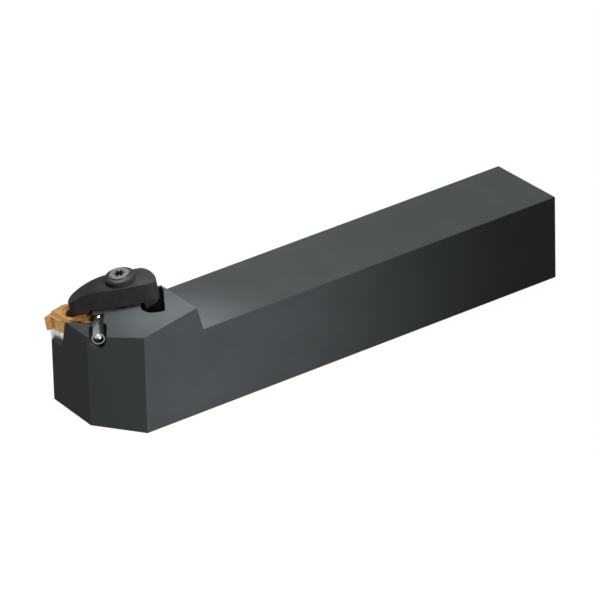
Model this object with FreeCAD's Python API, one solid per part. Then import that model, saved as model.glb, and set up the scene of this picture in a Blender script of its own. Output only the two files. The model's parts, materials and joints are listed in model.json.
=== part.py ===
import FreeCAD, Part
import math
import os
from FreeCAD import Placement, Rotation, Vector

"""An external threading tool: a square-shank steel holder with an indexable threading insert,
its shim, a claw clamp with screw and lifting spring, and a coolant nozzle beside the pocket.

Frame: origin at the middle of the shank's underside, +X towards the rear end of the shank,
+Y towards the cutting side, +Z up. The shank lies flat on Z = 0. All sizes are millimetres.
"""

# Shank
shank_width = 25.0
shank_height = 25.0
frame_from_rear = 60.0          # rear face to the frame's origin
shank_length = 120.8            # rear face to the step behind the head
overall_length = 150.0          # rear face to the tooth tip
shank_edge_chamfer = 0.18

# Tooth tip, as a machinist sets it
tip_offset = 32.0               # near side of the shank to the tip
tip_height = 25.0               # underside of the shank to the tip

# Head outline in plan
nose_setback = 9.8              # tip to the near front corner, along X
facet_run = 9.2                 # the slanted front facet, along X
facet_width = 13.4              # and along Y
front_relief_angle = 3.4        # the front face falls back towards the cutting side
side_setback = 0.45             # tip to the head's cutting side, along Y
taper_start = 9.0               # from the near front corner back, where the head starts to narrow
taper_run = 10.2                # length over which it narrows to the shank

# Head top: a plane that climbs to the rear and leans by the thread's lead angle
head_corner_rise = 3.85         # near front corner above the tooth tip
rise_angle = 10.0
lead_angle = 1.5
step_lean_angle = 15.0          # the rear face of the head leans forward
step_turn_angle = 2.4           # and turns back towards the cutting side

# Insert
inscribed_circle = 9.525
tooth_side_gap = 0.67           # tip to the side line beside the tooth
tooth_setback = 0.69            # tip inside the side line across the tooth
tooth_depth = 1.45
thread_half_angle = 30.0
notch_angle = 90.0              # slope of the notch from the tooth's root back to the side line
tip_radius = 0.15
notch_radius = 0.2
insert_thickness = 3.75         # to the tooth's top face
plateau_height = 0.5
plateau_reach = 4.0             # centre to each ridge of the plateau
plateau_slope_run = 0.6
insert_hole_radius = 2.4
insert_countersink = 0.8

# Shim and its screw
shim_thickness = 3.2
shim_inset = 0.35
shim_hole_radius = 1.9
shim_screw_radius = 1.75
shim_screw_head_radius = 2.9
shim_screw_head_height = 1.6
shim_screw_length = 9.0
shim_screw_recess_radius = 1.2
shim_screw_recess_depth = 1.0
shim_screw_head_gap = 0.15
shim_hole_spare = 1.5
shim_screw_sink = 0.25          # head top below the shim's top

# Pocket
pocket_front_gap = 1.9          # open room before the seat wall, near the front face
pocket_land_clearance = 0.03
pocket_land_drop = 0.35         # top of the seat land below the tooth's top face
pocket_land_start = 3.4         # from the insert's centre forward to where the land begins
pocket_corner_relief = 1.3
pocket_relief_shift = 0.6

# Clamp
clamp_axis_angle = -34.0        # in plan, from the nose towards the heel
clamp_nose_reach = 15.1         # screw axis to the nose end
clamp_heel_reach = 9.3          # screw axis to the heel end
clamp_nose_half_width = 2.3
clamp_half_width = 4.4
clamp_shoulder = 2.0            # screw axis to where the flanks start to narrow
clamp_pad_length = 4.55         # the flat under the nose that lies on the insert
clamp_pad_ramp = 1.2
clamp_nose_height = 2.35        # nose top above the insert's plateau
clamp_thickness = 5.75
clamp_underside = 0.6           # above the head's top plane
clamp_heel_depth = 3.2          # heel foot below the head's top plane
clamp_heel_width = 4.2          # heel foot along the clamp
clamp_heel_half_width = 3.1     # and across it
clamp_heel_shoulder = 3.0       # where the heel's back turns upright, above the underside
clamp_edge_fillet = 0.3
clamp_seat_gap = 0.05
clamp_pin_radius = 1.15
clamp_pin_end_radius = 0.92
clamp_pin_root = 0.5            # inside the nose
clamp_pin_depth = 1.1
clamp_pin_pull = 0.6            # the pin bears on the side of the hole nearer the screw
boss_radius = 4.1
boss_height = 1.35

# Clamp screw
screw_place = (8.1, 19.6)       # on the head's top plane, from the near front corner
screw_radius = 2.5
screw_head_radius = 3.4
screw_head_height = 3.8
screw_disc_radius = 2.57
screw_chamfer_height = 0.83     # the part of the head above the boss
screw_depth = 13.5              # end of the screw below the head's top plane
screw_running_gap = 0.08
screw_head_gap = 0.1            # round the head, in the clamp
clamp_hole_gap = 0.2            # round the shank, in the clamp
lobe_circle = 1.22
lobe_radius = 0.43
lobe_core_radius = 1.08
lobe_depth = 1.7
tapped_hole_spare = 4.5

# Lifting spring
spring_wire = 0.7
spring_radius = 3.35            # to the middle of the wire
spring_turns = 3
spring_wire_sides = 8           # the wire's section is a polygon, to keep the coil light
spring_pocket_radius = 4.2
spring_pocket_depth = 5.0
spring_clamp_recess = 1.0
spring_gap = 0.04

# Heel slot
slot_start = 3.9                # from the screw axis along the clamp
slot_end = 10.5
slot_near_end = 9.35            # from the clamp's axis towards the near side
slot_far_end = 3.4              # and towards the cutting side
slot_far_rim = 0.3              # top of the wall behind the slot's far end
slot_far_slope = 55.0           # fall of that wall's outer side
slot_depth = 7.5
slot_corner_radius = 4.6

# Coolant nozzle
nozzle_place = (-7.85, 10.47)    # where its axis leaves the slanted facet
nozzle_angle = 53.0
groove_drop = 0.9               # the groove's axis below the head's top plane
groove_radius = 2.6
groove_length = 7.6
nozzle_drop = 0.9               # and the tube's
nozzle_recess = 1.0             # tube's front end behind the facet
nozzle_radius = 1.75
nozzle_body_length = 7.4
nozzle_cone_length = 2.6
nozzle_cone_end_radius = 0.9
nozzle_bore_radius = 0.6
nozzle_mouth_depth = 2.4
ball_radius = 1.45
ball_proud = 1.0

# Coolant inlet and drilling
inlet_radius = 4.28             # minor radius of a G1/8 thread
inlet_depth = 12.0
drilling_radius = 2.0
drilling_height = 12.5
riser_radius = 1.2
riser_place = 7.6               # along the nozzle, where the riser meets it

# Modelling aids
cut_spare = 1.0                 # how far a cutting shape runs past what it cuts
pick_reach = 0.05               # how near an edge must stand to its spot to be picked

# Places worked out from the sizes above
rear_x = frame_from_rear
step_x = rear_x - shank_length
tip_x = rear_x - overall_length
near_y = -shank_width / 2
far_y = shank_width / 2
tip = Vector(tip_x, near_y + tip_offset, tip_height)
corner_x = tip_x + nose_setback
facet_x = corner_x - facet_run
facet_y = near_y + facet_width
side_y = near_y + tip_offset - side_setback
front_x = facet_x + (side_y - facet_y) * math.tan(math.radians(front_relief_angle))
tall = 3 * shank_height         # taller than any part of the tool

# The head's own frame: u to the rear, v to the cutting side, w out of the head's top plane
head_frame = Placement(
    Vector(corner_x, near_y, tip_height + head_corner_rise),
    Rotation(Vector(0, 1, 0), -rise_angle).multiply(Rotation(Vector(1, 0, 0), -lead_angle)))
tip_uvw = head_frame.inverse().multVec(tip)
seat_w = tip_uvw.z - insert_thickness - shim_thickness
shim_top = seat_w + shim_thickness
plateau_w = tip_uvw.z + plateau_height
clamp_top = clamp_underside + clamp_thickness
boss_top = clamp_top + boss_height
head_floor = boss_top + screw_chamfer_height - screw_head_height

inscribed_radius = inscribed_circle / 2
cos30 = math.cos(math.radians(30))
tooth_y = inscribed_radius - tooth_side_gap
tooth_x = -(inscribed_radius - tooth_setback + tooth_y / 2) / cos30
centre = Vector(tip_uvw.x - tooth_x, tip_uvw.y - tooth_y, 0)


def in_head(shape):
    """Carry a shape from the head's frame to the tool's frame."""
    placed = shape.copy()
    placed.Placement = head_frame.multiply(placed.Placement)
    return placed


def prism(points, bottom, top):
    """A closed outline, drawn from (x, y) pairs, standing from bottom to top."""
    corners = [Vector(x, y, bottom) for x, y in points]
    face = Part.Face(Part.makePolygon(corners + corners[:1]))
    return face.extrude(Vector(0, 0, top - bottom))


def upright_edges(shape, spots):
    """The edges parallel to Z that stand at the given (x, y) spots."""
    found = []
    for edge in shape.Edges:
        ends = [vertex.Point for vertex in edge.Vertexes]
        if len(ends) < 2 or math.hypot(ends[0].x - ends[1].x, ends[0].y - ends[1].y) > pick_reach:
            continue
        if any(math.hypot(ends[0].x - x, ends[0].y - y) < pick_reach for x, y in spots):
            found.append(edge)
    return found


def turned(point, degrees):
    angle = math.radians(degrees)
    x, y = point
    return (x * math.cos(angle) - y * math.sin(angle), x * math.sin(angle) + y * math.cos(angle))


def cylinder(radius, bottom, top, x=0.0, y=0.0):
    return Part.makeCylinder(radius, top - bottom, Vector(x, y, bottom))


def cone(bottom_radius, top_radius, bottom, top, x=0.0, y=0.0):
    return Part.makeCone(bottom_radius, top_radius, top - bottom, Vector(x, y, bottom))


def tooth_points(inset=0.0):
    """Far flank end, tip, root and notch end of one tooth, about the insert's centre."""
    slope = math.tan(math.radians(thread_half_angle))
    radius = inscribed_radius - inset
    point_spare = tip_radius * (1 / math.sin(math.radians(thread_half_angle)) - 1)
    tip_point = (tooth_x - point_spare + 2 * inset, tooth_y - inset / 2)
    flank_end = (tip_point[0] + (radius - tip_point[1]) / slope, radius)
    depth = tooth_depth + point_spare - inset
    root = (tip_point[0] + depth, tip_point[1] - depth * slope)
    fall = math.radians(notch_angle)
    short = radius + root[0] * cos30 + root[1] / 2
    run = short / (math.sin(fall) / 2 - math.cos(fall) * cos30)
    notch_end = (root[0] + run * math.cos(fall), root[1] - run * math.sin(fall))
    return flank_end, tip_point, root, notch_end


def insert_outline(inset=0.0):
    points = tooth_points(inset)
    return [turned(point, 120 * corner) for corner in range(3) for point in points]


def insert_prism(inset, bottom, top):
    """The three-toothed outline as a prism, with its tips and notches rounded."""
    body = prism(insert_outline(inset), bottom, top)
    _, tip_point, root, notch_end = tooth_points(inset)
    tips = [turned(tip_point, 120 * corner) for corner in range(3)]
    notches = [turned(point, 120 * corner) for corner in range(3) for point in (root, notch_end)]
    body = body.makeFillet(tip_radius, upright_edges(body, tips))
    return body.makeFillet(notch_radius, upright_edges(body, notches))


def threading_insert():
    top = plateau_w - shim_top
    body = insert_prism(0.0, 0.0, top)
    reach = 3 * inscribed_radius
    slope = Part.Face(Part.makePolygon([
        Vector(-plateau_reach, -reach, top),
        Vector(-plateau_reach - plateau_slope_run, -reach, insert_thickness),
        Vector(-reach, -reach, insert_thickness),
        Vector(-reach, -reach, top),
        Vector(-plateau_reach, -reach, top)]))
    shelf = slope.extrude(Vector(0, 2 * reach, 0))
    for corner in range(3):
        cut = shelf.copy()
        cut.rotate(Vector(0, 0, 0), Vector(0, 0, 1), 120 * corner)
        body = body.cut(cut)
    body = body.cut(cylinder(insert_hole_radius, -cut_spare, top + cut_spare))
    body = body.cut(cone(insert_hole_radius, insert_hole_radius + insert_countersink, top - insert_countersink, top))
    body.translate(Vector(centre.x, centre.y, shim_top))
    return in_head(body)


def shim():
    body = insert_prism(shim_inset, 0.0, shim_thickness)
    mouth_radius = shim_screw_head_radius + shim_screw_head_gap
    rim = shim_thickness - shim_screw_sink
    body = body.cut(cylinder(shim_hole_radius, -cut_spare, shim_thickness + cut_spare))
    body = body.cut(cylinder(mouth_radius, rim, shim_thickness + cut_spare))
    body = body.cut(cone(shim_hole_radius, mouth_radius, rim - shim_screw_head_height, rim))
    body.translate(Vector(centre.x, centre.y, seat_w))
    return in_head(body)


def lobe_recess(top):
    """Six-lobe driver recess, cut down from the given height."""
    recess = cylinder(lobe_core_radius, top - lobe_depth, top + cut_spare)
    for lobe in range(6):
        x, y = turned((lobe_circle, 0), 60 * lobe)
        recess = recess.fuse(cylinder(lobe_radius, top - lobe_depth, top + cut_spare, x, y))
    return recess.removeSplitter()


def shim_screw():
    top = shim_top - shim_screw_sink
    neck = top - shim_screw_head_height
    body = cylinder(shim_screw_radius, top - shim_screw_length, neck)
    body = body.fuse(cone(shim_screw_radius, shim_screw_head_radius, neck, top)).removeSplitter()
    body = body.cut(cylinder(shim_screw_recess_radius, top - shim_screw_recess_depth, top + cut_spare))
    body.translate(Vector(centre.x, centre.y, 0))
    return in_head(body)


def clamp_place(shape):
    """Turn a shape drawn about the screw axis, along the clamp, into the head's frame."""
    shape.rotate(Vector(0, 0, 0), Vector(0, 0, 1), clamp_axis_angle)
    shape.translate(Vector(screw_place[0], screw_place[1], 0))
    return shape


def clamp_plan():
    """Plan of the clamp: a round heel, level flanks past the screw, then a narrowing to a round nose."""
    heel_centre = clamp_heel_reach - clamp_half_width
    nose_centre = -clamp_nose_reach + clamp_nose_half_width
    lean = math.asin((clamp_half_width - clamp_nose_half_width) / (-clamp_shoulder - nose_centre))
    across, along = math.cos(lean), math.sin(lean)

    def flank(side):
        heel = Vector(heel_centre, side * clamp_half_width, 0)
        shoulder = Vector(-clamp_shoulder - clamp_half_width * along, side * clamp_half_width * across, 0)
        level = Vector(-clamp_shoulder, side * clamp_half_width, 0)
        nose = Vector(nose_centre - clamp_nose_half_width * along, side * clamp_nose_half_width * across, 0)
        bend = Vector(-clamp_shoulder - clamp_half_width * math.sin(lean / 2),
                      side * clamp_half_width * math.cos(lean / 2), 0)
        return heel, level, bend, shoulder, nose

    far, near = flank(1), flank(-1)
    edges = [
        Part.LineSegment(far[0], far[1]).toShape(),
        Part.Arc(far[1], far[2], far[3]).toShape(),
        Part.LineSegment(far[3], far[4]).toShape(),
        Part.Arc(far[4], Vector(-clamp_nose_reach, 0, 0), near[4]).toShape(),
        Part.LineSegment(near[4], near[3]).toShape(),
        Part.Arc(near[3], near[2], near[1]).toShape(),
        Part.LineSegment(near[1], near[0]).toShape(),
        Part.Arc(near[0], Vector(clamp_heel_reach, 0, 0), far[0]).toShape()]
    return Part.Face(Part.Wire(edges))


def falling_arc(start_x, end_x, top, bottom):
    """An arc that leaves the level top at start_x and comes down to the bottom height at end_x."""
    run, drop = end_x - start_x, top - bottom
    radius = (run ** 2 + drop ** 2) / (2 * drop)
    half_turn = math.asin(run / radius) / 2
    bend = Vector(start_x + radius * math.sin(half_turn), 0, top - radius * (1 - math.cos(half_turn)))
    return Part.Arc(Vector(start_x, 0, top), bend, Vector(end_x, 0, bottom)).toShape()


def clamp_side():
    """Side view of the clamp, from nose to heel, as a face in the XZ plane."""
    pad = plateau_w + clamp_seat_gap
    nose_top = pad + clamp_nose_height
    nose = -clamp_nose_reach - cut_spare
    heel = clamp_heel_reach + cut_spare
    pad_end = -clamp_nose_reach + clamp_pad_length
    foot_start = clamp_heel_reach - clamp_heel_width
    shoulder = clamp_underside + clamp_heel_shoulder
    knee = clamp_heel_reach - clamp_half_width
    crown = -boss_radius
    corners = [(nose, nose_top), (nose, pad), (pad_end, pad), (pad_end + clamp_pad_ramp, clamp_underside),
               (foot_start, clamp_underside), (foot_start, -clamp_heel_depth), (heel, -clamp_heel_depth),
               (heel, shoulder)]
    points = [Vector(x, 0, z) for x, z in corners]
    edges = [Part.LineSegment(a, b).toShape() for a, b in zip(points, points[1:])]
    edges.append(falling_arc(knee, heel, clamp_top, shoulder))
    edges.append(Part.LineSegment(Vector(knee, 0, clamp_top), Vector(crown, 0, clamp_top)).toShape())
    edges.append(falling_arc(crown, nose, clamp_top, nose_top))
    return Part.Face(Part.Wire(Part.sortEdges(edges)[0]))


def clamp():
    plan = clamp_plan().extrude(Vector(0, 0, 4 * clamp_top))
    plan.translate(Vector(0, 0, -2 * clamp_top))
    side = clamp_side().extrude(Vector(0, 4 * clamp_half_width, 0))
    side.translate(Vector(0, -2 * clamp_half_width, 0))
    body = plan.common(side)
    rims = [edge for edge in body.Edges
            if edge.BoundBox.ZMin > clamp_underside + pick_reach and edge.BoundBox.XLength > pick_reach]
    body = body.makeFillet(clamp_edge_fillet, rims)
    foot_bottom = -clamp_heel_depth - cut_spare
    for near, far in ((clamp_heel_half_width, clamp_half_width + cut_spare),
                      (-clamp_half_width - cut_spare, -clamp_heel_half_width)):
        beside_foot = [(0, near), (clamp_heel_reach, near), (clamp_heel_reach, far), (0, far)]
        body = body.cut(prism(beside_foot, foot_bottom, clamp_underside))
    body = body.fuse(cylinder(boss_radius, clamp_top - boss_height, boss_top)).removeSplitter()
    body = body.cut(cylinder(screw_radius + clamp_hole_gap, -boss_top, 2 * boss_top))
    body = body.cut(cylinder(screw_head_radius + screw_head_gap, head_floor - clamp_seat_gap, 2 * boss_top))
    body = body.cut(cylinder(spring_pocket_radius, -cut_spare, clamp_underside + spring_clamp_recess))
    pad = plateau_w + clamp_seat_gap
    along, across = hole_from_screw()
    pin = cone(clamp_pin_end_radius, clamp_pin_radius, pad - clamp_pin_depth, pad + clamp_pin_root,
               along + clamp_pin_pull, across)
    body = body.fuse(pin)
    return in_head(clamp_place(body))


def hole_from_screw():
    """Where the insert's hole lies, along and across the clamp, from the screw axis."""
    return turned((centre.x - screw_place[0], centre.y - screw_place[1]), -clamp_axis_angle)


def clamp_screw():
    top = boss_top + screw_chamfer_height
    body = cylinder(screw_head_radius, head_floor, top - screw_chamfer_height)
    body = body.fuse(cone(screw_head_radius, screw_disc_radius, top - screw_chamfer_height, top))
    body = body.fuse(cylinder(screw_radius, -screw_depth + screw_radius / 2, head_floor))
    body = body.fuse(cone(screw_radius / 2, screw_radius, -screw_depth, -screw_depth + screw_radius / 2))
    body = body.removeSplitter().cut(lobe_recess(top))
    return in_head(clamp_place(body))


def clamp_spring():
    bottom = -spring_pocket_depth + spring_gap + spring_wire / 2
    top = clamp_underside + spring_clamp_recess - spring_gap - spring_wire / 2
    height = top - bottom
    path = Part.makeHelix(height / spring_turns, height, spring_radius)
    angles = [2 * math.pi * side / spring_wire_sides for side in range(spring_wire_sides)]
    corners = [Vector(spring_radius + spring_wire / 2 * math.cos(a), 0, spring_wire / 2 * math.sin(a)) for a in angles]
    profile = Part.makePolygon(corners + corners[:1])
    body = Part.Wire(path.Edges).makePipeShell([profile], True, True)
    body.translate(Vector(0, 0, bottom))
    return in_head(clamp_place(body))


def nozzle_place_shape(shape, drop=nozzle_drop):
    """Lay a shape drawn along +Z beside the pocket, with Z = 0 at the facet."""
    turn = Rotation(Vector(0, 0, 1), nozzle_angle).multiply(Rotation(Vector(0, 1, 0), 90))
    spot = Vector(nozzle_place[0], nozzle_place[1], -drop)
    placed = shape.copy()
    placed.Placement = Placement(spot, turn).multiply(placed.Placement)
    return placed


def nozzle_tube():
    end = nozzle_body_length + nozzle_cone_length
    body = cylinder(nozzle_radius, 0, nozzle_body_length)
    body = body.fuse(cone(nozzle_radius, nozzle_cone_end_radius, nozzle_body_length, end)).removeSplitter()
    body = body.cut(cylinder(nozzle_bore_radius, -cut_spare, end + cut_spare))
    body = body.cut(cylinder(ball_radius, -cut_spare, nozzle_mouth_depth))
    body.translate(Vector(0, 0, nozzle_recess))
    return in_head(nozzle_place_shape(body))


def sealing_ball():
    body = Part.makeSphere(ball_radius, Vector(0, 0, nozzle_recess + ball_radius - ball_proud))
    return in_head(nozzle_place_shape(body))


def pocket():
    """The insert's seat with its room before the front face, in the head's frame."""
    far = 2 * tip_offset
    radius = inscribed_radius + pocket_land_clearance
    wide = radius + pocket_front_gap
    top = tall

    def corner_at(near_gap, rear_gap):
        """Where the near wall (normal 210 degrees) and the rear wall (normal 330) meet."""
        x = (rear_gap - near_gap) / (2 * cos30)
        return (x, -(near_gap + rear_gap))

    def region(near_gap, rear_gap, bottom):
        x, y = corner_at(near_gap, rear_gap)
        points = [(x, y), (x + far / 2, y + far * cos30), (x - far / 2, y + far * cos30)]
        cut = prism(points, bottom, top)
        cut.translate(Vector(centre.x, centre.y, 0))
        return cut

    land_top = tip_uvw.z - pocket_land_drop
    lower = region(radius, radius, seat_w)
    upper = region(wide, radius, land_top)
    front = prism([(-far, -far), (-pocket_land_start, -far), (-pocket_land_start, far), (-far, far)], seat_w, top)
    front.translate(Vector(centre.x, centre.y, 0))
    front = front.common(region(wide, radius, seat_w))
    relief_x, relief_y = corner_at(radius, radius)
    relief = cylinder(pocket_corner_relief, seat_w, top, centre.x + relief_x, centre.y + relief_y + pocket_relief_shift)
    return lower.fuse(upper).fuse(front).fuse(relief)


def heel_slot():
    """The pocket for the clamp's heel, open above, with one round corner."""
    cut = prism([(slot_start, -slot_near_end), (slot_end, -slot_near_end),
                 (slot_end, slot_far_end), (slot_start, slot_far_end)], -slot_depth, tall)
    cut = cut.makeFillet(slot_corner_radius, upright_edges(cut, [(slot_start, -slot_near_end)]))
    return clamp_place(cut)


def holder_body():
    outline = [
        (corner_x, near_y), (rear_x, near_y), (rear_x, far_y), (corner_x + taper_start + taper_run, far_y),
        (corner_x + taper_start, side_y), (front_x, side_y), (facet_x, facet_y)]
    base = prism(outline, 0, shank_height)
    rims = [edge for edge in base.Edges
            if edge.BoundBox.ZLength < pick_reach or edge.BoundBox.XMin > rear_x - pick_reach]
    base = base.makeChamfer(shank_edge_chamfer, rims)
    low = shank_height - cut_spare
    raised = prism(outline, low, tall)
    lean = math.tan(math.radians(step_lean_angle))
    front_of_step = Part.Face(Part.makePolygon([
        Vector(step_x + lean * cut_spare, -tall, low),
        Vector(tip_x - tall, -tall, low),
        Vector(tip_x - tall, -tall, tall),
        Vector(step_x - lean * (tall - shank_height), -tall, tall),
        Vector(step_x + lean * cut_spare, -tall, low)])).extrude(Vector(0, 2 * tall, 0))
    above = Part.makeBox(4 * tall, 4 * tall, tall, Vector(-2 * tall, -2 * tall, 0))
    front_of_step.rotate(Vector(step_x, near_y, 0), Vector(0, 0, 1), -step_turn_angle)
    rear_corner = Part.makeBox(tall, tall, tall)
    rear_corner.rotate(Vector(0, 0, 0), Vector(1, 0, 0), -slot_far_slope)
    rear_corner.translate(Vector(clamp_heel_reach - clamp_heel_width, slot_far_end + slot_far_rim, 0))
    raised = raised.common(front_of_step).cut(in_head(above)).cut(in_head(clamp_place(rear_corner)))
    body = base.fuse(raised).removeSplitter()

    body = body.cut(in_head(pocket()))
    body = body.cut(in_head(heel_slot()))
    screw_bottom = -screw_depth - tapped_hole_spare
    hole = cylinder(screw_radius + screw_running_gap, screw_bottom, tall)
    hole = hole.fuse(cylinder(spring_pocket_radius, -spring_pocket_depth, tall))
    body = body.cut(in_head(clamp_place(hole)))
    shim_hole_bottom = shim_top - shim_screw_sink - shim_screw_length - shim_hole_spare
    shim_hole = cylinder(shim_screw_radius + screw_running_gap, shim_hole_bottom, shim_top, centre.x, centre.y)
    body = body.cut(in_head(shim_hole))

    end = nozzle_recess + nozzle_body_length + nozzle_cone_length
    groove = cylinder(groove_radius, -3 * groove_radius, groove_length - groove_radius)
    groove = groove.fuse(Part.makeSphere(groove_radius, Vector(0, 0, groove_length - groove_radius)))
    body = body.cut(in_head(nozzle_place_shape(groove, groove_drop)))
    bore = cylinder(nozzle_radius, 0, end + cut_spare)
    body = body.cut(in_head(nozzle_place_shape(bore)))

    inlet = Part.makeCylinder(inlet_radius, inlet_depth, Vector(rear_x - inlet_depth, 0, drilling_height),
                              Vector(1, 0, 0))
    riser_top = head_frame.multVec(nozzle_place_shape(Part.Vertex(0, 0, riser_place)).Point)
    drilling = Part.makeCylinder(drilling_radius, rear_x - riser_top.x + drilling_radius,
                                 Vector(riser_top.x - drilling_radius, 0, drilling_height), Vector(1, 0, 0))
    body = body.cut(inlet).cut(drilling)
    riser_foot = Vector(riser_top.x, 0, drilling_height)
    riser = Part.makeCylinder(riser_radius, (riser_top - riser_foot).Length, riser_foot, riser_top - riser_foot)
    return body.cut(riser)


def export(name, shape):
    solids = shape.Solids
    assert len(solids) == 1 and solids[0].isValid(), name
    solids[0].exportStep("parts/" + name + ".step")
    print(name, round(solids[0].Volume, 1), "faces", len(solids[0].Faces))


os.makedirs("parts", exist_ok=True)
pieces = {
    "holder_body": holder_body,
    "shim": shim,
    "shim_screw": shim_screw,
    "threading_insert": threading_insert,
    "clamp": clamp,
    "clamp_screw": clamp_screw,
    "clamp_spring": clamp_spring,
    "nozzle_tube": nozzle_tube,
    "sealing_ball": sealing_ball,
}
for piece_name, make_piece in pieces.items():
    export(piece_name, make_piece())
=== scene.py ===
"""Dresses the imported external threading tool: a finish for each steel, coated and ground piece,
a wound lifting spring, the thread of the coolant inlet, and a plain studio to look at it in."""

import bpy
import json
import math
import numpy as np
from bpy.props import FloatProperty, FloatVectorProperty, IntProperty, PointerProperty
from mathutils import Matrix, Vector


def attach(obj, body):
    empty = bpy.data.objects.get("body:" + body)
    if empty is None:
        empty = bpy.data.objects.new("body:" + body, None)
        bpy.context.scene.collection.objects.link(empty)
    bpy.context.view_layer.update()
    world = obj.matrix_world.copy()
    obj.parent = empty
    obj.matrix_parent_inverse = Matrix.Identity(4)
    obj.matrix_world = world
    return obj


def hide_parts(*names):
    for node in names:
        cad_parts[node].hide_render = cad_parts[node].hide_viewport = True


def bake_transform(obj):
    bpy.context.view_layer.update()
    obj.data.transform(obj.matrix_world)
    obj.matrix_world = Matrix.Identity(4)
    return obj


bl_info = {
    "name": "External threading tool",
    "version": (1, 0, 0),
    "blender": (4, 5, 0),
    "location": "View3D > Sidebar > Threading tool",
    "description": "Finishes, lifting spring, inlet thread and studio for an external threading tool",
    "category": "Add Mesh",
}

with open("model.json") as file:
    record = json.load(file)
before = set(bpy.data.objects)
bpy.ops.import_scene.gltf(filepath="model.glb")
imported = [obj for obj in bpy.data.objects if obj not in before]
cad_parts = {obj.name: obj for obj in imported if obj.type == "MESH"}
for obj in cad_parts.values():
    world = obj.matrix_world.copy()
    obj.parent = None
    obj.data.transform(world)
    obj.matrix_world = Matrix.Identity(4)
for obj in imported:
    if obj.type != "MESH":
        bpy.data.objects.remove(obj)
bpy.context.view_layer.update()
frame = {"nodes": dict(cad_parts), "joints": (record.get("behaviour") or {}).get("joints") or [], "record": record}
MM = 0.001

# The head's top plane: the clamp's screw stands square to it and the clamp lifts along it
lift = next(joint for joint in frame["joints"] if joint["name"] == "clamp_lift")
turn = next(joint for joint in frame["joints"] if joint["name"] == "clamp_screw_turn")
SCREW_AXIS = Vector(lift["axis"]).normalized()
SCREW_FOOT = Vector(turn["pos_m"])
INLET = next(mount for mount in frame["record"]["mounts"] if mount["name"] == "coolant_inlet")


def linear(code):
    """A hex colour as seen on a screen, turned to the linear values that a shader works in."""
    parts = [int(code[place:place + 2], 16) / 255 for place in (1, 3, 5)]
    return tuple(part / 12.92 if part <= 0.04045 else ((part + 0.055) / 1.055) ** 2.4 for part in parts)


def colour_prop(name, description, code):
    return FloatVectorProperty(name=name, description=description, subtype="COLOR", size=3, min=0.0, max=1.0,
                               default=linear(code))


class HolderFinish(bpy.types.PropertyGroup):
    steel_colour: colour_prop("Blackened steel", "Colour of the black oxide on the holder", "#5c6163")
    # The worn colour is partly wear and partly a painted highlight along the edges
    worn_and_highlight_colour: colour_prop("Worn and highlit edges", "Colour on the edges, where the oxide is rubbed thin and a highlight is painted", "#6e7376")
    roughness: FloatProperty(name="Roughness", description="Roughness of the blackened steel", default=0.46,
                             min=0.05, max=1.0)
    edge_radius: FloatProperty(name="Broken edge", description="Radius that light sees on each sharp edge",
                               default=0.08 * MM, min=0.0, subtype="DISTANCE")
    wear_and_highlight_width: FloatProperty(name="Wear width", description="How far an edge's wear and painted highlight reaches onto the faces",
                               default=0.15 * MM, min=0.0, subtype="DISTANCE")


class InsertFinish(bpy.types.PropertyGroup):
    coating_colour: colour_prop("Coating", "Colour of the gold nitride coating on the insert", "#f0b766")
    coating_shade: colour_prop("Coating shade", "Colour of the coating where it is thicker", "#e2a857")
    # The edge colour is painted shade, darkening the insert along its edges and steps
    edge_shade_colour: colour_prop("Painted edge shade", "Colour of the coating along its edges, as painted shade", "#452b10")
    shim_colour: colour_prop("Ground carbide", "Colour of the uncoated shim", "#e2e6ea")
    screw_colour: colour_prop("Shim screw", "Colour of the shim's blackened screw", "#33353a")
    screw_shade: colour_prop("Shim screw shade", "Colour of that screw where the oxide is thicker", "#2a2c30")
    roughness: FloatProperty(name="Roughness", description="Roughness of the coating", default=0.3, min=0.05,
                             max=1.0)


class ClampFinish(bpy.types.PropertyGroup):
    clamp_colour: colour_prop("Clamp", "Colour of the forged and blackened clamp", "#444547")
    clamp_shade: colour_prop("Clamp shade", "Colour of the clamp where the oxide is thicker", "#3d3e3f")
    screw_colour: colour_prop("Screw disc", "Colour of the turned screw head", "#828282")
    recess_colour: colour_prop("Screw flank", "Colour of the blackened flank, recess and shank", "#48494c")
    thread_pitch: FloatProperty(name="Thread pitch", description="Pitch of the clamp screw's thread",
                                default=0.8 * MM, min=0.1 * MM, subtype="DISTANCE")


class SpringShape(bpy.types.PropertyGroup):
    wire: FloatProperty(name="Wire", description="Diameter of the spring wire", default=0.7 * MM,
                        min=0.1 * MM, subtype="DISTANCE")
    coil: FloatProperty(name="Coil radius", description="Screw axis to the middle of the wire",
                        default=3.35 * MM, min=0.5 * MM, subtype="DISTANCE")
    turns: IntProperty(name="Turns", description="Working turns between the closed ends", default=3, min=1)
    closed: FloatProperty(name="Closed turn", description="Share of a turn laid flat at each end",
                          default=0.75, min=0.0, max=2.0)
    colour: colour_prop("Spring steel", "Colour of the drawn spring wire", "#8f9296")
    shade: colour_prop("Spring steel shade", "Colour of the wire where it is duller", "#7c7f83")


class NozzleFinish(bpy.types.PropertyGroup):
    ball_colour: colour_prop("Ball", "Colour of the hardened sealing ball", "#c8cacc")
    # The ball's lower side is painted shade: its colour darkens the part that sits in the groove
    ball_lower_shade_colour: colour_prop("Painted shade below", "Colour of the ball's lower side, painted dark as shade", "#1b1c20")
    tube_colour: colour_prop("Tube", "Colour of the nozzle's turned barrel", "#989b9e")
    # The tip's brighter colour is a painted highlight on the lapped cone
    tip_highlight_colour: colour_prop("Tip", "Colour of the nozzle's lapped cone", "#dcdee0")
    cone: FloatProperty(name="Cone", description="Length of the lapped cone at the nozzle's inner end",
                        default=2.6 * MM, min=0.0, subtype="DISTANCE")


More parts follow.
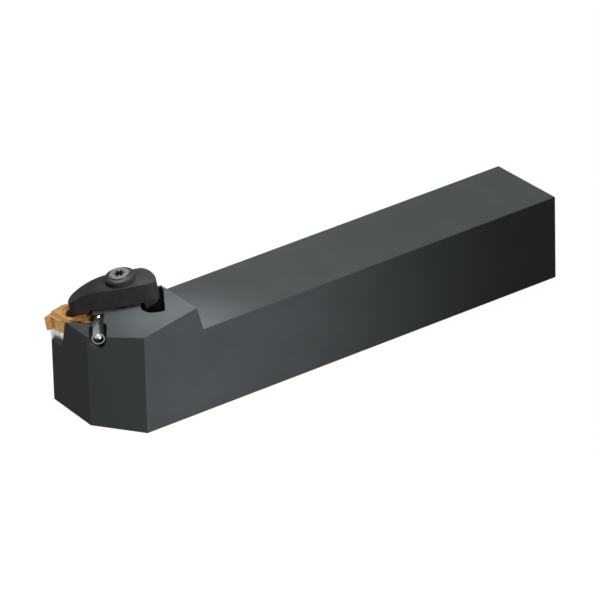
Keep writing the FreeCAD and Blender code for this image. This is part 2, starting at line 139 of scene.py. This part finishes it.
class InletThread(bpy.types.PropertyGroup):
    pitch: FloatProperty(name="Pitch", description="Pitch of the coolant inlet's pipe thread",
                         default=0.907 * MM, min=0.2 * MM, subtype="DISTANCE")
    depth: FloatProperty(name="Depth", description="How far the crests stand out of the hole's wall",
                         default=0.32 * MM, min=0.05 * MM, subtype="DISTANCE")
    spare: FloatProperty(name="Plain end", description="Length at the hole's bottom that has no thread",
                         default=1.6 * MM, min=0.0, subtype="DISTANCE")


class Studio(bpy.types.PropertyGroup):
    lens: FloatProperty(name="Lens", description="Focal length of the camera", default=412.27, min=1.0)
    yaw: FloatProperty(name="Yaw", description="Camera's turn from +Y towards +X",
                       default=math.radians(36.530), subtype="ANGLE")
    pitch: FloatProperty(name="Pitch", description="Camera's dip below level",
                         default=math.radians(27.754), subtype="ANGLE")
    roll: FloatProperty(name="Roll", description="Camera's roll about its own line of sight",
                        default=math.radians(-1.557), subtype="ANGLE")
    place: FloatVectorProperty(name="Camera", description="Where the camera stands", subtype="TRANSLATION",
                               size=3, default=(-1.00184, -1.32643, 0.88323))
    floor_colour: colour_prop("Floor", "Colour of the floor that catches the shadow", "#606060")
    floor_half: FloatProperty(name="Floor half width", description="From the middle of the floor to its edge",
                              default=6.0, min=0.5, subtype="DISTANCE")
    floor_glow: FloatProperty(name="Floor glow", description="What the seen floor gets over its lit grey",
                              default=0.955, min=0.0, max=1.0)
    sky_light: FloatProperty(name="Sky light", description="Strength of the world that lights the object",
                             default=0.06, min=0.0, max=1.0)


SETTINGS = {"tt_holder": HolderFinish, "tt_insert": InsertFinish, "tt_clamp": ClampFinish,
            "tt_spring": SpringShape, "tt_nozzle": NozzleFinish, "tt_inlet": InletThread, "tt_studio": Studio}


def add(tree, kind, inputs=None, **settings):
    """Add one node to a tree. An input is a value, or another node's output to link."""
    made = tree.nodes.new(kind)
    for name, value in settings.items():
        setattr(made, name, value)
    for name, value in (inputs or {}).items():
        if isinstance(value, bpy.types.NodeSocket):
            tree.links.new(value, made.inputs[name])
        else:
            made.inputs[name].default_value = value
    return made


def rgba(colour):
    return (colour[0], colour[1], colour[2], 1.0)


def new_material(name):
    """A material with one Principled shader; returns it with its tree, shader and object coordinates."""
    material = bpy.data.materials.new(name)
    material.use_nodes = True
    tree = material.node_tree
    shader = tree.nodes["Principled BSDF"]
    where = add(tree, "ShaderNodeTexCoord").outputs["Object"]
    return material, tree, shader, where


# Cosine between the rounded and the true normal down to which a face counts as flat
FLATTEST = 0.998
# Ray samples of each Bevel node, and how deep the grain's bump goes at full strength
EDGE_SAMPLES = 6
GRAIN_DEPTH = 0.02 * MM


def edge_mask_wear_and_painted_light(tree, radius, sharpest=0.9):
    """One on the sharp edges, nought on the flats: how far the rounded normal leaves the true one. An edge
    counts in full where their cosine is down to the value called sharpest."""
    rounded = add(tree, "ShaderNodeBevel", {"Radius": radius}, samples=EDGE_SAMPLES)
    true = add(tree, "ShaderNodeNewGeometry")
    match = add(tree, "ShaderNodeVectorMath", {0: rounded.outputs["Normal"], 1: true.outputs["True Normal"]},
                operation="DOT_PRODUCT")
    share = add(tree, "ShaderNodeMapRange", {"Value": match.outputs["Value"], "From Min": FLATTEST,
                                             "From Max": sharpest, "To Min": 0.0, "To Max": 1.0})
    return share.outputs["Result"]


def mix(tree, share, first, second):
    """A colour between two colours; returns the mixed colour's output."""
    return add(tree, "ShaderNodeMix", {0: share, 6: first, 7: second}, data_type="RGBA").outputs[2]


def blackened_steel(finish):
    """Ground steel under a black oxide: a satin dark grey that mottles faintly and is lighter on its edges, where
    it rubs bright and a highlight is painted.
    The mottling clouds are 14 mm across, as the blackening bath leaves them."""
    material, tree, shader, where = new_material("Black oxide on ground steel")
    cloud_size, patch_size, grain_size = 14 * MM, 2.5 * MM, 0.25 * MM
    cloud = add(tree, "ShaderNodeTexNoise", {"Vector": where, "Scale": 1 / cloud_size, "Detail": 3.0})
    shade = add(tree, "ShaderNodeMapRange", {"Value": cloud.outputs["Fac"], "From Min": 0.3, "From Max": 0.7,
                                             "To Min": 0.93, "To Max": 1.07})
    body = add(tree, "ShaderNodeVectorMath", {0: finish.steel_colour, "Scale": shade.outputs["Result"]},
               operation="SCALE")
    worn = edge_mask_wear_and_painted_light(tree, finish.wear_and_highlight_width)
    # The lighter edges, wear and painted highlight, are broken up at 2.5 mm, so an edge is light in places and not
    # drawn as a line
    patch = add(tree, "ShaderNodeTexNoise", {"Vector": where, "Scale": 1 / patch_size, "Detail": 2.0})
    share = add(tree, "ShaderNodeMath", {0: worn, 1: patch.outputs["Fac"]}, operation="MULTIPLY")
    # Lighter edges: wear, and a painted highlight along them
    colour = mix(tree, share.outputs["Value"], body.outputs["Vector"], rgba(finish.worn_and_highlight_colour))
    # The grain of a fine grinding wheel is under 0.1 mm: drawn at 0.25 mm so that it shows at all
    along = add(tree, "ShaderNodeMapping", {"Vector": where, "Scale": (0.12, 1.0, 1.0)})
    grain = add(tree, "ShaderNodeTexNoise", {"Vector": along.outputs["Vector"], "Scale": 1 / grain_size,
                                             "Detail": 2.0})
    edge = add(tree, "ShaderNodeBevel", {"Radius": finish.edge_radius}, samples=EDGE_SAMPLES)
    bump = add(tree, "ShaderNodeBump", {"Height": grain.outputs["Fac"], "Strength": 0.12,
                                        "Distance": GRAIN_DEPTH, "Normal": edge.outputs["Normal"]})
    rough = add(tree, "ShaderNodeMapRange", {"Value": cloud.outputs["Fac"], "From Min": 0.3, "From Max": 0.7,
                                             "To Min": finish.roughness - 0.03,
                                             "To Max": finish.roughness + 0.03})
    tree.links.new(colour, shader.inputs["Base Color"])
    tree.links.new(rough.outputs["Result"], shader.inputs["Roughness"])
    tree.links.new(bump.outputs["Normal"], shader.inputs["Normal"])
    # The oxide is porous and drinks the light, so it mirrors far less than a clean metal or a lacquer
    shader.inputs["IOR"].default_value = 1.11
    return material


def coated_metal(name, colour, shade, roughness, metallic, grain_mm, grain_strength, edge_mm=0.08, ior=1.5,
                 edge_shade_colour=None):
    """A metal or coated surface whose colour drifts a little and whose grain has a real size. Its sharp edges
    take a colour of their own where one is given, as painted shade."""
    material, tree, shader, where = new_material(name)
    cloud_size = 3 * MM
    cloud = add(tree, "ShaderNodeTexNoise", {"Vector": where, "Scale": 1 / cloud_size, "Detail": 2.0})
    drift = add(tree, "ShaderNodeMapRange", {"Value": cloud.outputs["Fac"], "From Min": 0.35,
                                             "From Max": 0.65})
    body = mix(tree, drift.outputs["Result"], rgba(colour), rgba(shade))
    if edge_shade_colour:
        # Painted shade: sharp edges darken to the given colour
        body = mix(tree, edge_mask_wear_and_painted_light(tree, 3 * edge_mm * MM, 0.98), body, rgba(edge_shade_colour))
    tree.links.new(body, shader.inputs["Base Color"])
    grain = add(tree, "ShaderNodeTexNoise", {"Vector": where, "Scale": 1 / (grain_mm * MM), "Detail": 2.0})
    edge = add(tree, "ShaderNodeBevel", {"Radius": edge_mm * MM}, samples=EDGE_SAMPLES)
    bump = add(tree, "ShaderNodeBump", {"Height": grain.outputs["Fac"], "Strength": grain_strength,
                                        "Distance": GRAIN_DEPTH, "Normal": edge.outputs["Normal"]})
    rough = add(tree, "ShaderNodeMapRange", {"Value": cloud.outputs["Fac"], "To Min": roughness - 0.04,
                                             "To Max": roughness + 0.04})
    tree.links.new(rough.outputs["Result"], shader.inputs["Roughness"])
    tree.links.new(bump.outputs["Normal"], shader.inputs["Normal"])
    shader.inputs["Metallic"].default_value = metallic
    shader.inputs["IOR"].default_value = ior
    return material


def screw_steel(finish):
    """Turned steel: the head's disc is faced bright, and its flank, recess and threaded shank stay black."""
    material, tree, shader, where = new_material("Turned screw steel")
    tilt = SCREW_AXIS.to_track_quat("Z", "Y").to_matrix().transposed().to_euler()
    move = -(SCREW_AXIS.to_track_quat("Z", "Y").to_matrix().transposed() @ SCREW_FOOT)
    local = add(tree, "ShaderNodeMapping", {"Vector": where, "Location": move, "Rotation": tilt})
    axes = add(tree, "ShaderNodeSeparateXYZ", {"Vector": local.outputs["Vector"]})
    radius = add(tree, "ShaderNodeVectorMath", {0: local.outputs["Vector"], 1: (1.0, 1.0, 0.0)},
                 operation="MULTIPLY")
    reach = add(tree, "ShaderNodeVectorMath", {0: radius.outputs["Vector"]}, operation="LENGTH")
    # The faced disc is the top tenth of a millimetre of the head, and its rim fades into the black flank
    crown = axis_reach("clamp_screw")[1]
    disc = add(tree, "ShaderNodeMapRange", {"Value": axes.outputs["Z"], "From Min": crown - 0.12 * MM,
                                            "From Max": crown - 0.04 * MM})
    colour = mix(tree, disc.outputs["Result"], rgba(finish.recess_colour), rgba(finish.screw_colour))
    tree.links.new(colour, shader.inputs["Base Color"])
    # The lathe leaves rings about 0.15 mm apart and 0.8 microns deep on the disc; heights are in millimetres
    ring_gap, ring_depth = 0.15 * MM, 0.0008
    rings = add(tree, "ShaderNodeMath", {0: reach.outputs["Value"], 1: 2 * math.pi / ring_gap},
                operation="MULTIPLY")
    wave = add(tree, "ShaderNodeMath", {0: rings.outputs["Value"]}, operation="SINE")
    wave = add(tree, "ShaderNodeMath", {0: wave.outputs["Value"], 1: ring_depth}, operation="MULTIPLY")
    # The thread climbs one pitch a turn; its crests stand 0.3 mm over its roots
    crest = 0.3
    angle = add(tree, "ShaderNodeMath", {0: axes.outputs["Y"], 1: axes.outputs["X"]}, operation="ARCTAN2")
    part_turn = add(tree, "ShaderNodeMath", {0: angle.outputs["Value"], 1: 1 / (2 * math.pi)},
                    operation="MULTIPLY")
    climb = add(tree, "ShaderNodeMath", {0: axes.outputs["Z"], 1: 1 / finish.thread_pitch,
                                         2: part_turn.outputs["Value"]}, operation="MULTIPLY_ADD")
    tooth = add(tree, "ShaderNodeMath", {0: climb.outputs["Value"], 1: 0.5}, operation="PINGPONG")
    tooth = add(tree, "ShaderNodeMath", {0: tooth.outputs["Value"], 1: 2 * crest}, operation="MULTIPLY")
    height = add(tree, "ShaderNodeMix", {0: disc.outputs["Result"], 2: tooth.outputs["Value"],
                                         3: wave.outputs["Value"]}, data_type="FLOAT")
    edge = add(tree, "ShaderNodeBevel", {"Radius": 0.08 * MM}, samples=EDGE_SAMPLES)
    bump = add(tree, "ShaderNodeBump", {"Height": height.outputs[0], "Strength": 1.0, "Distance": MM,
                                        "Normal": edge.outputs["Normal"]})
    tree.links.new(bump.outputs["Normal"], shader.inputs["Normal"])
    shader.inputs["Metallic"].default_value = 0.6
    shader.inputs["Roughness"].default_value = 0.48
    return material


def corners_of(node):
    """The points of a CAD node's mesh as rows."""
    mesh = frame["nodes"][node].data
    corners = np.empty(len(mesh.vertices) * 3, np.float32)
    mesh.vertices.foreach_get("co", corners)
    return corners.reshape(-1, 3)


def axis_reach(node, foot=SCREW_FOOT, axis=SCREW_AXIS):
    """Lowest and highest place of a CAD node along an axis, from the axis' foot."""
    heights = (corners_of(node) - np.array(foot)) @ np.array(axis)
    return float(heights.min()), float(heights.max())


def two_part_metal(name, start, axis, first, second, from_mm, to_mm, roughness):
    """Steel with one colour up to a place along an axis and another beyond it, which ease into each other
    between the two places. The axis runs from the start point."""
    material, tree, shader, where = new_material(name)
    reach = add(tree, "ShaderNodeVectorMath", {0: where, 1: start}, operation="SUBTRACT")
    along = add(tree, "ShaderNodeVectorMath", {0: reach.outputs["Vector"], 1: axis}, operation="DOT_PRODUCT")
    share = add(tree, "ShaderNodeMapRange", {"Value": along.outputs["Value"], "From Min": from_mm * MM,
                                             "From Max": to_mm * MM}, interpolation_type="SMOOTHSTEP")
    tree.links.new(mix(tree, share.outputs["Result"], rgba(first), rgba(second)), shader.inputs["Base Color"])
    # The lathe's and the lap's marks are finer than 0.2 mm and only break the gloss a little
    grain = add(tree, "ShaderNodeTexNoise", {"Vector": where, "Scale": 1 / (0.2 * MM), "Detail": 2.0})
    edge = add(tree, "ShaderNodeBevel", {"Radius": 0.08 * MM}, samples=EDGE_SAMPLES)
    bump = add(tree, "ShaderNodeBump", {"Height": grain.outputs["Fac"], "Strength": 0.05,
                                        "Distance": GRAIN_DEPTH, "Normal": edge.outputs["Normal"]})
    tree.links.new(bump.outputs["Normal"], shader.inputs["Normal"])
    shader.inputs["Metallic"].default_value = 1.0
    shader.inputs["Roughness"].default_value = roughness
    return material


def dress(node, material):
    """Give a CAD node one material in all its slots."""
    slots = frame["nodes"][node].material_slots
    for slot in slots:
        slot.material = material
    if not slots:
        frame["nodes"][node].data.materials.append(material)


def grid_mesh(name, points, closed_u=False, closed_v=False):
    """A mesh from a (rows, columns, 3) array: each quad joins a point to the next row and column."""
    rows, columns = points.shape[:2]
    index = np.arange(rows * columns).reshape(rows, columns)
    if closed_u:
        index = np.concatenate([index, index[:1]], axis=0)
    if closed_v:
        index = np.concatenate([index, index[:, :1]], axis=1)
    quads = np.stack([index[:-1, :-1], index[1:, :-1], index[1:, 1:], index[:-1, 1:]], axis=-1).reshape(-1, 4)
    mesh = bpy.data.meshes.new(name)
    mesh.from_pydata(points.reshape(-1, 3).tolist(), [], quads.tolist())
    mesh.shade_smooth()
    return mesh


def place_piece(name, mesh, material):
    mesh.materials.append(material)
    piece = bpy.data.objects.new(name, mesh)
    bpy.context.scene.collection.objects.link(piece)
    return piece


def screw_frame():
    """The clamp screw's own axes as columns, with its own Z along the screw."""
    return np.array(SCREW_AXIS.to_track_quat("Z", "Y").to_matrix())


# The coil's steps along one turn, the wire's sides, and the share of the wire left at its drawn-in ends
STEPS_A_TURN = 48
WIRE_SIDES = 12
END_SHARE = 0.02


def coil_points(shape, bottom, top):
    """Wire surface of a coil with closed ends. The centre line climbs with a turn count t: by one wire a turn
    over the closed share at each end, and evenly over the rest of the height between. The wire's circle
    stands square to it. Rows run along the wire, columns round it."""
    turns = shape.turns + 2 * shape.closed
    t = np.linspace(0, turns, int(turns * STEPS_A_TURN) + 1)
    ramp = np.clip((t - shape.closed) / shape.turns, 0, 1)
    wire = shape.wire / 2
    end = shape.wire * shape.closed
    height = bottom + wire + np.where(t < shape.closed, shape.wire * t, end)
    height = np.where((t >= shape.closed) & (t <= turns - shape.closed),
                      bottom + wire + end + ramp * (top - bottom - 2 * wire - 2 * end), height)
    height = np.where(t > turns - shape.closed, top - wire - (turns - t) * shape.wire, height)
    angle = 2 * np.pi * t
    centre = np.stack([shape.coil * np.cos(angle), shape.coil * np.sin(angle), height], axis=1)
    along = np.gradient(centre, axis=0)
    along /= np.linalg.norm(along, axis=1, keepdims=True)
    out = np.stack([np.cos(angle), np.sin(angle), np.zeros_like(angle)], axis=1)
    up = np.cross(along, out)
    round_wire = np.linspace(0, 2 * np.pi, WIRE_SIDES, endpoint=False)[None, :, None]
    ring = np.cos(round_wire) * out[:, None] - np.sin(round_wire) * up[:, None]
    # The ends are closed by drawing the last rings in to the wire's middle
    size = np.full(len(t), wire)
    size[[0, -1]] = wire * END_SHARE
    return centre[:, None] + ring * size[:, None, None]


class MESH_OT_finish_holder(bpy.types.Operator):
    """Black oxide on the holder's ground faces, lighter on its edges from wear and a painted highlight"""
    bl_idname = "threading_tool.finish_holder"
    bl_label = "Finish the holder"

    def execute(self, context):
        dress("holder_body", blackened_steel(context.scene.tt_holder))
        return {"FINISHED"}


class MESH_OT_finish_insert(bpy.types.Operator):
    """Gold nitride coating on the insert, bare ground carbide on the shim, dark steel on the shim's screw"""
    bl_idname = "threading_tool.finish_insert"
    bl_label = "Finish the insert and shim"

    def execute(self, context):
        finish = context.scene.tt_insert
        # Titanium nitride over carbide: a warm gold that is satin, because the coating follows the grit, and
        # painted shade darkens it along its edges, which draws the teeth and the plateau
        dress("threading_insert", coated_metal("Titanium nitride on carbide", finish.coating_colour,
                                               finish.coating_shade, finish.roughness, metallic=0.4,
                                               grain_mm=0.15, grain_strength=0.1,
                                               edge_shade_colour=finish.edge_shade_colour))
        # Ground carbide: a bright cool grey with the wheel's fine marks
        dress("shim", coated_metal("Ground carbide", finish.shim_colour, finish.shim_colour, roughness=0.36,
                                   metallic=0.8, grain_mm=0.12, grain_strength=0.12))
        # A bought screw under a thin black oxide: dark with a little of the steel's gloss
        dress("shim_screw", coated_metal("Blackened screw steel", finish.screw_colour, finish.screw_shade,
                                         roughness=0.42, metallic=0.6, grain_mm=0.2, grain_strength=0.1))
        return {"FINISHED"}


class MESH_OT_finish_clamp(bpy.types.Operator):
    """Forged and blackened clamp, turned clamp screw"""
    bl_idname = "threading_tool.finish_clamp"
    bl_label = "Finish the clamp and screw"

    def execute(self, context):
        finish = context.scene.tt_clamp
        # Black oxide over a forging's fine scale: darker than the holder, matt, with softly rounded edges
        dress("clamp", coated_metal("Black oxide on forged steel", finish.clamp_colour, finish.clamp_shade,
                                    roughness=0.4, metallic=0.0, grain_mm=0.3, grain_strength=0.18,
                                    edge_mm=0.15, ior=1.12))
        dress("clamp_screw", screw_steel(finish))
        return {"FINISHED"}


class MESH_OT_finish_nozzle(bpy.types.Operator):
    """Turned nozzle barrel and its polished sealing ball"""
    bl_idname = "threading_tool.finish_nozzle"
    bl_label = "Finish the nozzle"

    def execute(self, context):
        finish = context.scene.tt_nozzle
        # Turned stainless steel: satin grey along the barrel; the lapped cone that aims the jet is painted
        # brighter as a highlight
        ball = Vector(corners_of("sealing_ball").mean(axis=0))
        axis = (Vector(corners_of("nozzle_tube").mean(axis=0)) - ball).normalized()
        # Where the cone starts, in millimetres from the ball: the finish changes over 0.2 mm there
        cone_start = axis_reach("nozzle_tube", ball, axis)[1] / MM - finish.cone / MM
        dress("nozzle_tube", two_part_metal("Turned stainless steel", ball, axis, finish.tube_colour,
                                            finish.tip_highlight_colour, from_mm=cone_start - 0.1,
                                            to_mm=cone_start + 0.1, roughness=0.26))
        # Lapped bearing steel: bright on top, and painted shade darkens it below, where it sits in its groove
        dress("sealing_ball", two_part_metal("Lapped ball steel", ball, Vector((0.0, 0.0, 1.0)),
                                             finish.ball_lower_shade_colour, finish.ball_colour, from_mm=0.2,
                                             to_mm=0.95, roughness=0.22))
        return {"FINISHED"}


class MESH_OT_wind_spring(bpy.types.Operator):
    """Wound lifting spring with closed ends"""
    bl_idname = "threading_tool.wind_spring"
    bl_label = "Wind the lifting spring"

    def execute(self, context):
        shape = context.scene.tt_spring
        axes = screw_frame()
        bottom, top = axis_reach("clamp_spring")
        points = coil_points(shape, bottom, top) @ axes.T + np.array(SCREW_FOOT)
        # Drawn spring wire: bright, with fine lines along it
        steel = coated_metal("Drawn spring wire", shape.colour, shape.shade, roughness=0.3, metallic=0.9,
                             grain_mm=0.2, grain_strength=0.08)
        piece = place_piece("lifting_spring", grid_mesh("lifting_spring", points, closed_v=True), steel)
        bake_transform(piece)
        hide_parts("clamp_spring")
        return {"FINISHED"}


# The inlet thread's columns round the hole and rows along one pitch
THREAD_COLUMNS = 96
ROWS_A_PITCH = 14


class MESH_OT_cut_inlet_thread(bpy.types.Operator):
    """Pipe thread in the coolant inlet at the rear face"""
    bl_idname = "threading_tool.cut_inlet_thread"
    bl_label = "Cut the inlet thread"

    def execute(self, context):
        shape = context.scene.tt_inlet
        wall = INLET["dims"]["r_mm"] * MM
        length = INLET["dims"]["length_mm"] * MM - shape.spare
        mouth = np.array(INLET["pos_m"])
        # The thread stands a hair inside the hole's wall and mouth, so that no two surfaces coincide
        wall_gap, mouth_gap = 0.01 * MM, 0.05 * MM
        # Radius falls from the wall by a tooth wave of the helix's phase, which turns once a pitch. The wave
        # is clipped flat at crest and root, and fades out over the run-out at each end
        flat, run_out = 0.15, 0.8 * shape.pitch
        turn_angle = np.linspace(0, 2 * np.pi, THREAD_COLUMNS, endpoint=False)
        depth_in = np.linspace(0, length, int(length / shape.pitch * ROWS_A_PITCH))
        along, angle = np.meshgrid(depth_in, turn_angle, indexing="ij")
        phase = (along / shape.pitch - angle / (2 * np.pi)) % 1.0
        tooth = 1 - np.abs(2 * phase - 1)
        fade = np.clip(np.minimum(along, length - along) / run_out, 0, 1)
        radius = wall - wall_gap - shape.depth * np.clip(tooth * (1 + 2 * flat) - flat, 0, 1) * fade
        points = np.stack([mouth[0] - mouth_gap - along, mouth[1] + radius * np.cos(angle),
                           mouth[2] + radius * np.sin(angle)], axis=-1)
        thread = grid_mesh("inlet_thread", points, closed_v=True)
        piece = place_piece("inlet_thread", thread, frame["nodes"]["holder_body"].material_slots[0].material)
        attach(piece, "holder")
        return {"FINISHED"}


# Each lamp's name, kind, place, the point it looks at, power, angle in degrees and a spot's radius. The key
# makes a pool of light on the head's top beside the step, the side lamp one on the long side that fades
# towards the rear, the sky lights what faces up, and the fill is for the far side and the rear
LAMPS = [
    ("key_over_head", "SPOT", (-0.11, 0.05, 0.53), (-0.0665, -0.009, 0.03), 9.8, 5.1, 0.01),
    ("side_from_front", "SPOT", (0.0, -0.56, 0.21), (-0.068, -0.0125, 0.015), 7.8, 18.6, 0.04),
    ("soft_sky", "SUN", (0.0, 0.0, 1.0), (0.0, 0.0, 0.0), 1.2, 50, 0.0),
    ("fill_from_behind", "SUN", (0.6, 0.8, 0.03), (0.0, 0.0, 0.0), 0.7, 14, 0.0),
]


def light_lamp(name, kind, place, aim, power, angle, softness):
    """One lamp of the list, turned to look at its point."""
    data = bpy.data.lights.new(name, kind)
    data.energy = power
    if kind == "SUN":
        data.angle = math.radians(angle)
    else:
        data.spot_size = math.radians(angle)
        data.spot_blend = 1.0
        data.shadow_soft_size = softness
    made = bpy.data.objects.new(name, data)
    made.location = place
    made.rotation_euler = (Vector(aim) - Vector(place)).to_track_quat("-Z", "Y").to_euler()
    bpy.context.scene.collection.objects.link(made)


def seen_share(tree):
    """One for what the camera, gloss and glass see, nought for what lights the object."""
    path = add(tree, "ShaderNodeLightPath")
    seen = add(tree, "ShaderNodeMath", {0: path.outputs["Is Camera Ray"], 1: path.outputs["Is Glossy Ray"]},
               operation="MAXIMUM")
    seen = add(tree, "ShaderNodeMath", {0: seen.outputs["Value"], 1: path.outputs["Is Transmission Ray"]},
               operation="MAXIMUM")
    return seen.outputs["Value"]


class MESH_OT_set_stage(bpy.types.Operator):
    """White floor and background, soft lamps and the camera"""
    bl_idname = "threading_tool.set_stage"
    bl_label = "Set the stage"

    def execute(self, context):
        studio = context.scene.tt_studio
        scene = context.scene
        scene.view_settings.view_transform = "Standard"

        # Camera: looks along yaw and pitch, then rolls about that line
        sight = Vector((math.sin(studio.yaw) * math.cos(studio.pitch),
                        math.cos(studio.yaw) * math.cos(studio.pitch), -math.sin(studio.pitch)))
        level = Vector((math.cos(studio.yaw), -math.sin(studio.yaw), 0))
        upright = level.cross(sight)
        across = math.cos(studio.roll) * level + math.sin(studio.roll) * upright
        above = math.cos(studio.roll) * upright - math.sin(studio.roll) * level
        turn_matrix = Matrix((across, above, -sight)).transposed().to_4x4()
        data = bpy.data.cameras.new("photo_camera")
        data.sensor_fit = "HORIZONTAL"
        data.sensor_width = 36.0
        data.lens = studio.lens
        data.clip_start = 0.05
        data.clip_end = 20.0
        camera = bpy.data.objects.new("photo_camera", data)
        camera.matrix_world = Matrix.Translation(Vector(studio.place)) @ turn_matrix
        scene.collection.objects.link(camera)
        scene.camera = camera

        # Floor: its own grey takes the light and the shadow, and the glow added for what the camera, gloss
        # and glass see brings the unshaded floor to white
        mesh = bpy.data.meshes.new("floor")
        half = studio.floor_half
        mesh.from_pydata([(-half, -half, 0), (half, -half, 0), (half, half, 0), (-half, half, 0)], [],
                         [(0, 1, 2, 3)])
        floor = bpy.data.objects.new("floor", mesh)
        floor.location.z = -0.05 * MM
        scene.collection.objects.link(floor)
        material = bpy.data.materials.new("Plain white paper")
        material.use_nodes = True
        tree = material.node_tree
        tree.nodes.clear()
        glow = add(tree, "ShaderNodeMath", {0: seen_share(tree), 1: studio.floor_glow}, operation="MULTIPLY")
        white = add(tree, "ShaderNodeEmission", {"Strength": glow.outputs["Value"]})
        paper = add(tree, "ShaderNodeBsdfDiffuse", {"Color": rgba(studio.floor_colour)})
        both = add(tree, "ShaderNodeAddShader", {0: white.outputs["Emission"], 1: paper.outputs["BSDF"]})
        add(tree, "ShaderNodeOutputMaterial", {"Surface": both.outputs["Shader"]})
        mesh.materials.append(material)

        world = bpy.data.worlds.new("white_studio")
        scene.world = world
        world.use_nodes = True
        tree = world.node_tree
        tree.nodes.clear()
        strength = add(tree, "ShaderNodeMapRange", {"Value": seen_share(tree), "To Min": studio.sky_light,
                                                    "To Max": 1.0})
        sky = add(tree, "ShaderNodeBackground", {"Strength": strength.outputs["Result"]})
        add(tree, "ShaderNodeOutputWorld", {"Surface": sky.outputs["Background"]})

        for row in LAMPS:
            light_lamp(*row)
        return {"FINISHED"}


PIECES = [MESH_OT_finish_holder, MESH_OT_finish_insert, MESH_OT_finish_clamp, MESH_OT_finish_nozzle,
          MESH_OT_wind_spring, MESH_OT_cut_inlet_thread, MESH_OT_set_stage]


class VIEW3D_PT_threading_tool(bpy.types.Panel):
    """The tool's pieces and their sizes"""
    bl_label = "Threading tool"
    bl_space_type = "VIEW_3D"
    bl_region_type = "UI"
    bl_category = "Threading tool"

    def draw(self, context):
        for piece in PIECES:
            self.layout.operator(piece.bl_idname)
        for name, group in SETTINGS.items():
            box = self.layout.box()
            for prop in group.__annotations__:
                box.prop(getattr(context.scene, name), prop)


def register():
    for group in SETTINGS.values():
        bpy.utils.register_class(group)
    for name, group in SETTINGS.items():
        setattr(bpy.types.Scene, name, PointerProperty(type=group))
    for operator in PIECES:
        bpy.utils.register_class(operator)
    bpy.utils.register_class(VIEW3D_PT_threading_tool)


def unregister():
    bpy.utils.unregister_class(VIEW3D_PT_threading_tool)
    for operator in reversed(PIECES):
        bpy.utils.unregister_class(operator)
    for name, group in SETTINGS.items():
        delattr(bpy.types.Scene, name)
        bpy.utils.unregister_class(group)


def main():
    register()
    bpy.ops.threading_tool.finish_holder()
    bpy.ops.threading_tool.finish_insert()
    bpy.ops.threading_tool.finish_clamp()
    bpy.ops.threading_tool.finish_nozzle()
    bpy.ops.threading_tool.wind_spring()
    bpy.ops.threading_tool.cut_inlet_thread()
    bpy.ops.threading_tool.set_stage()


if __name__ == "__main__":
    main()
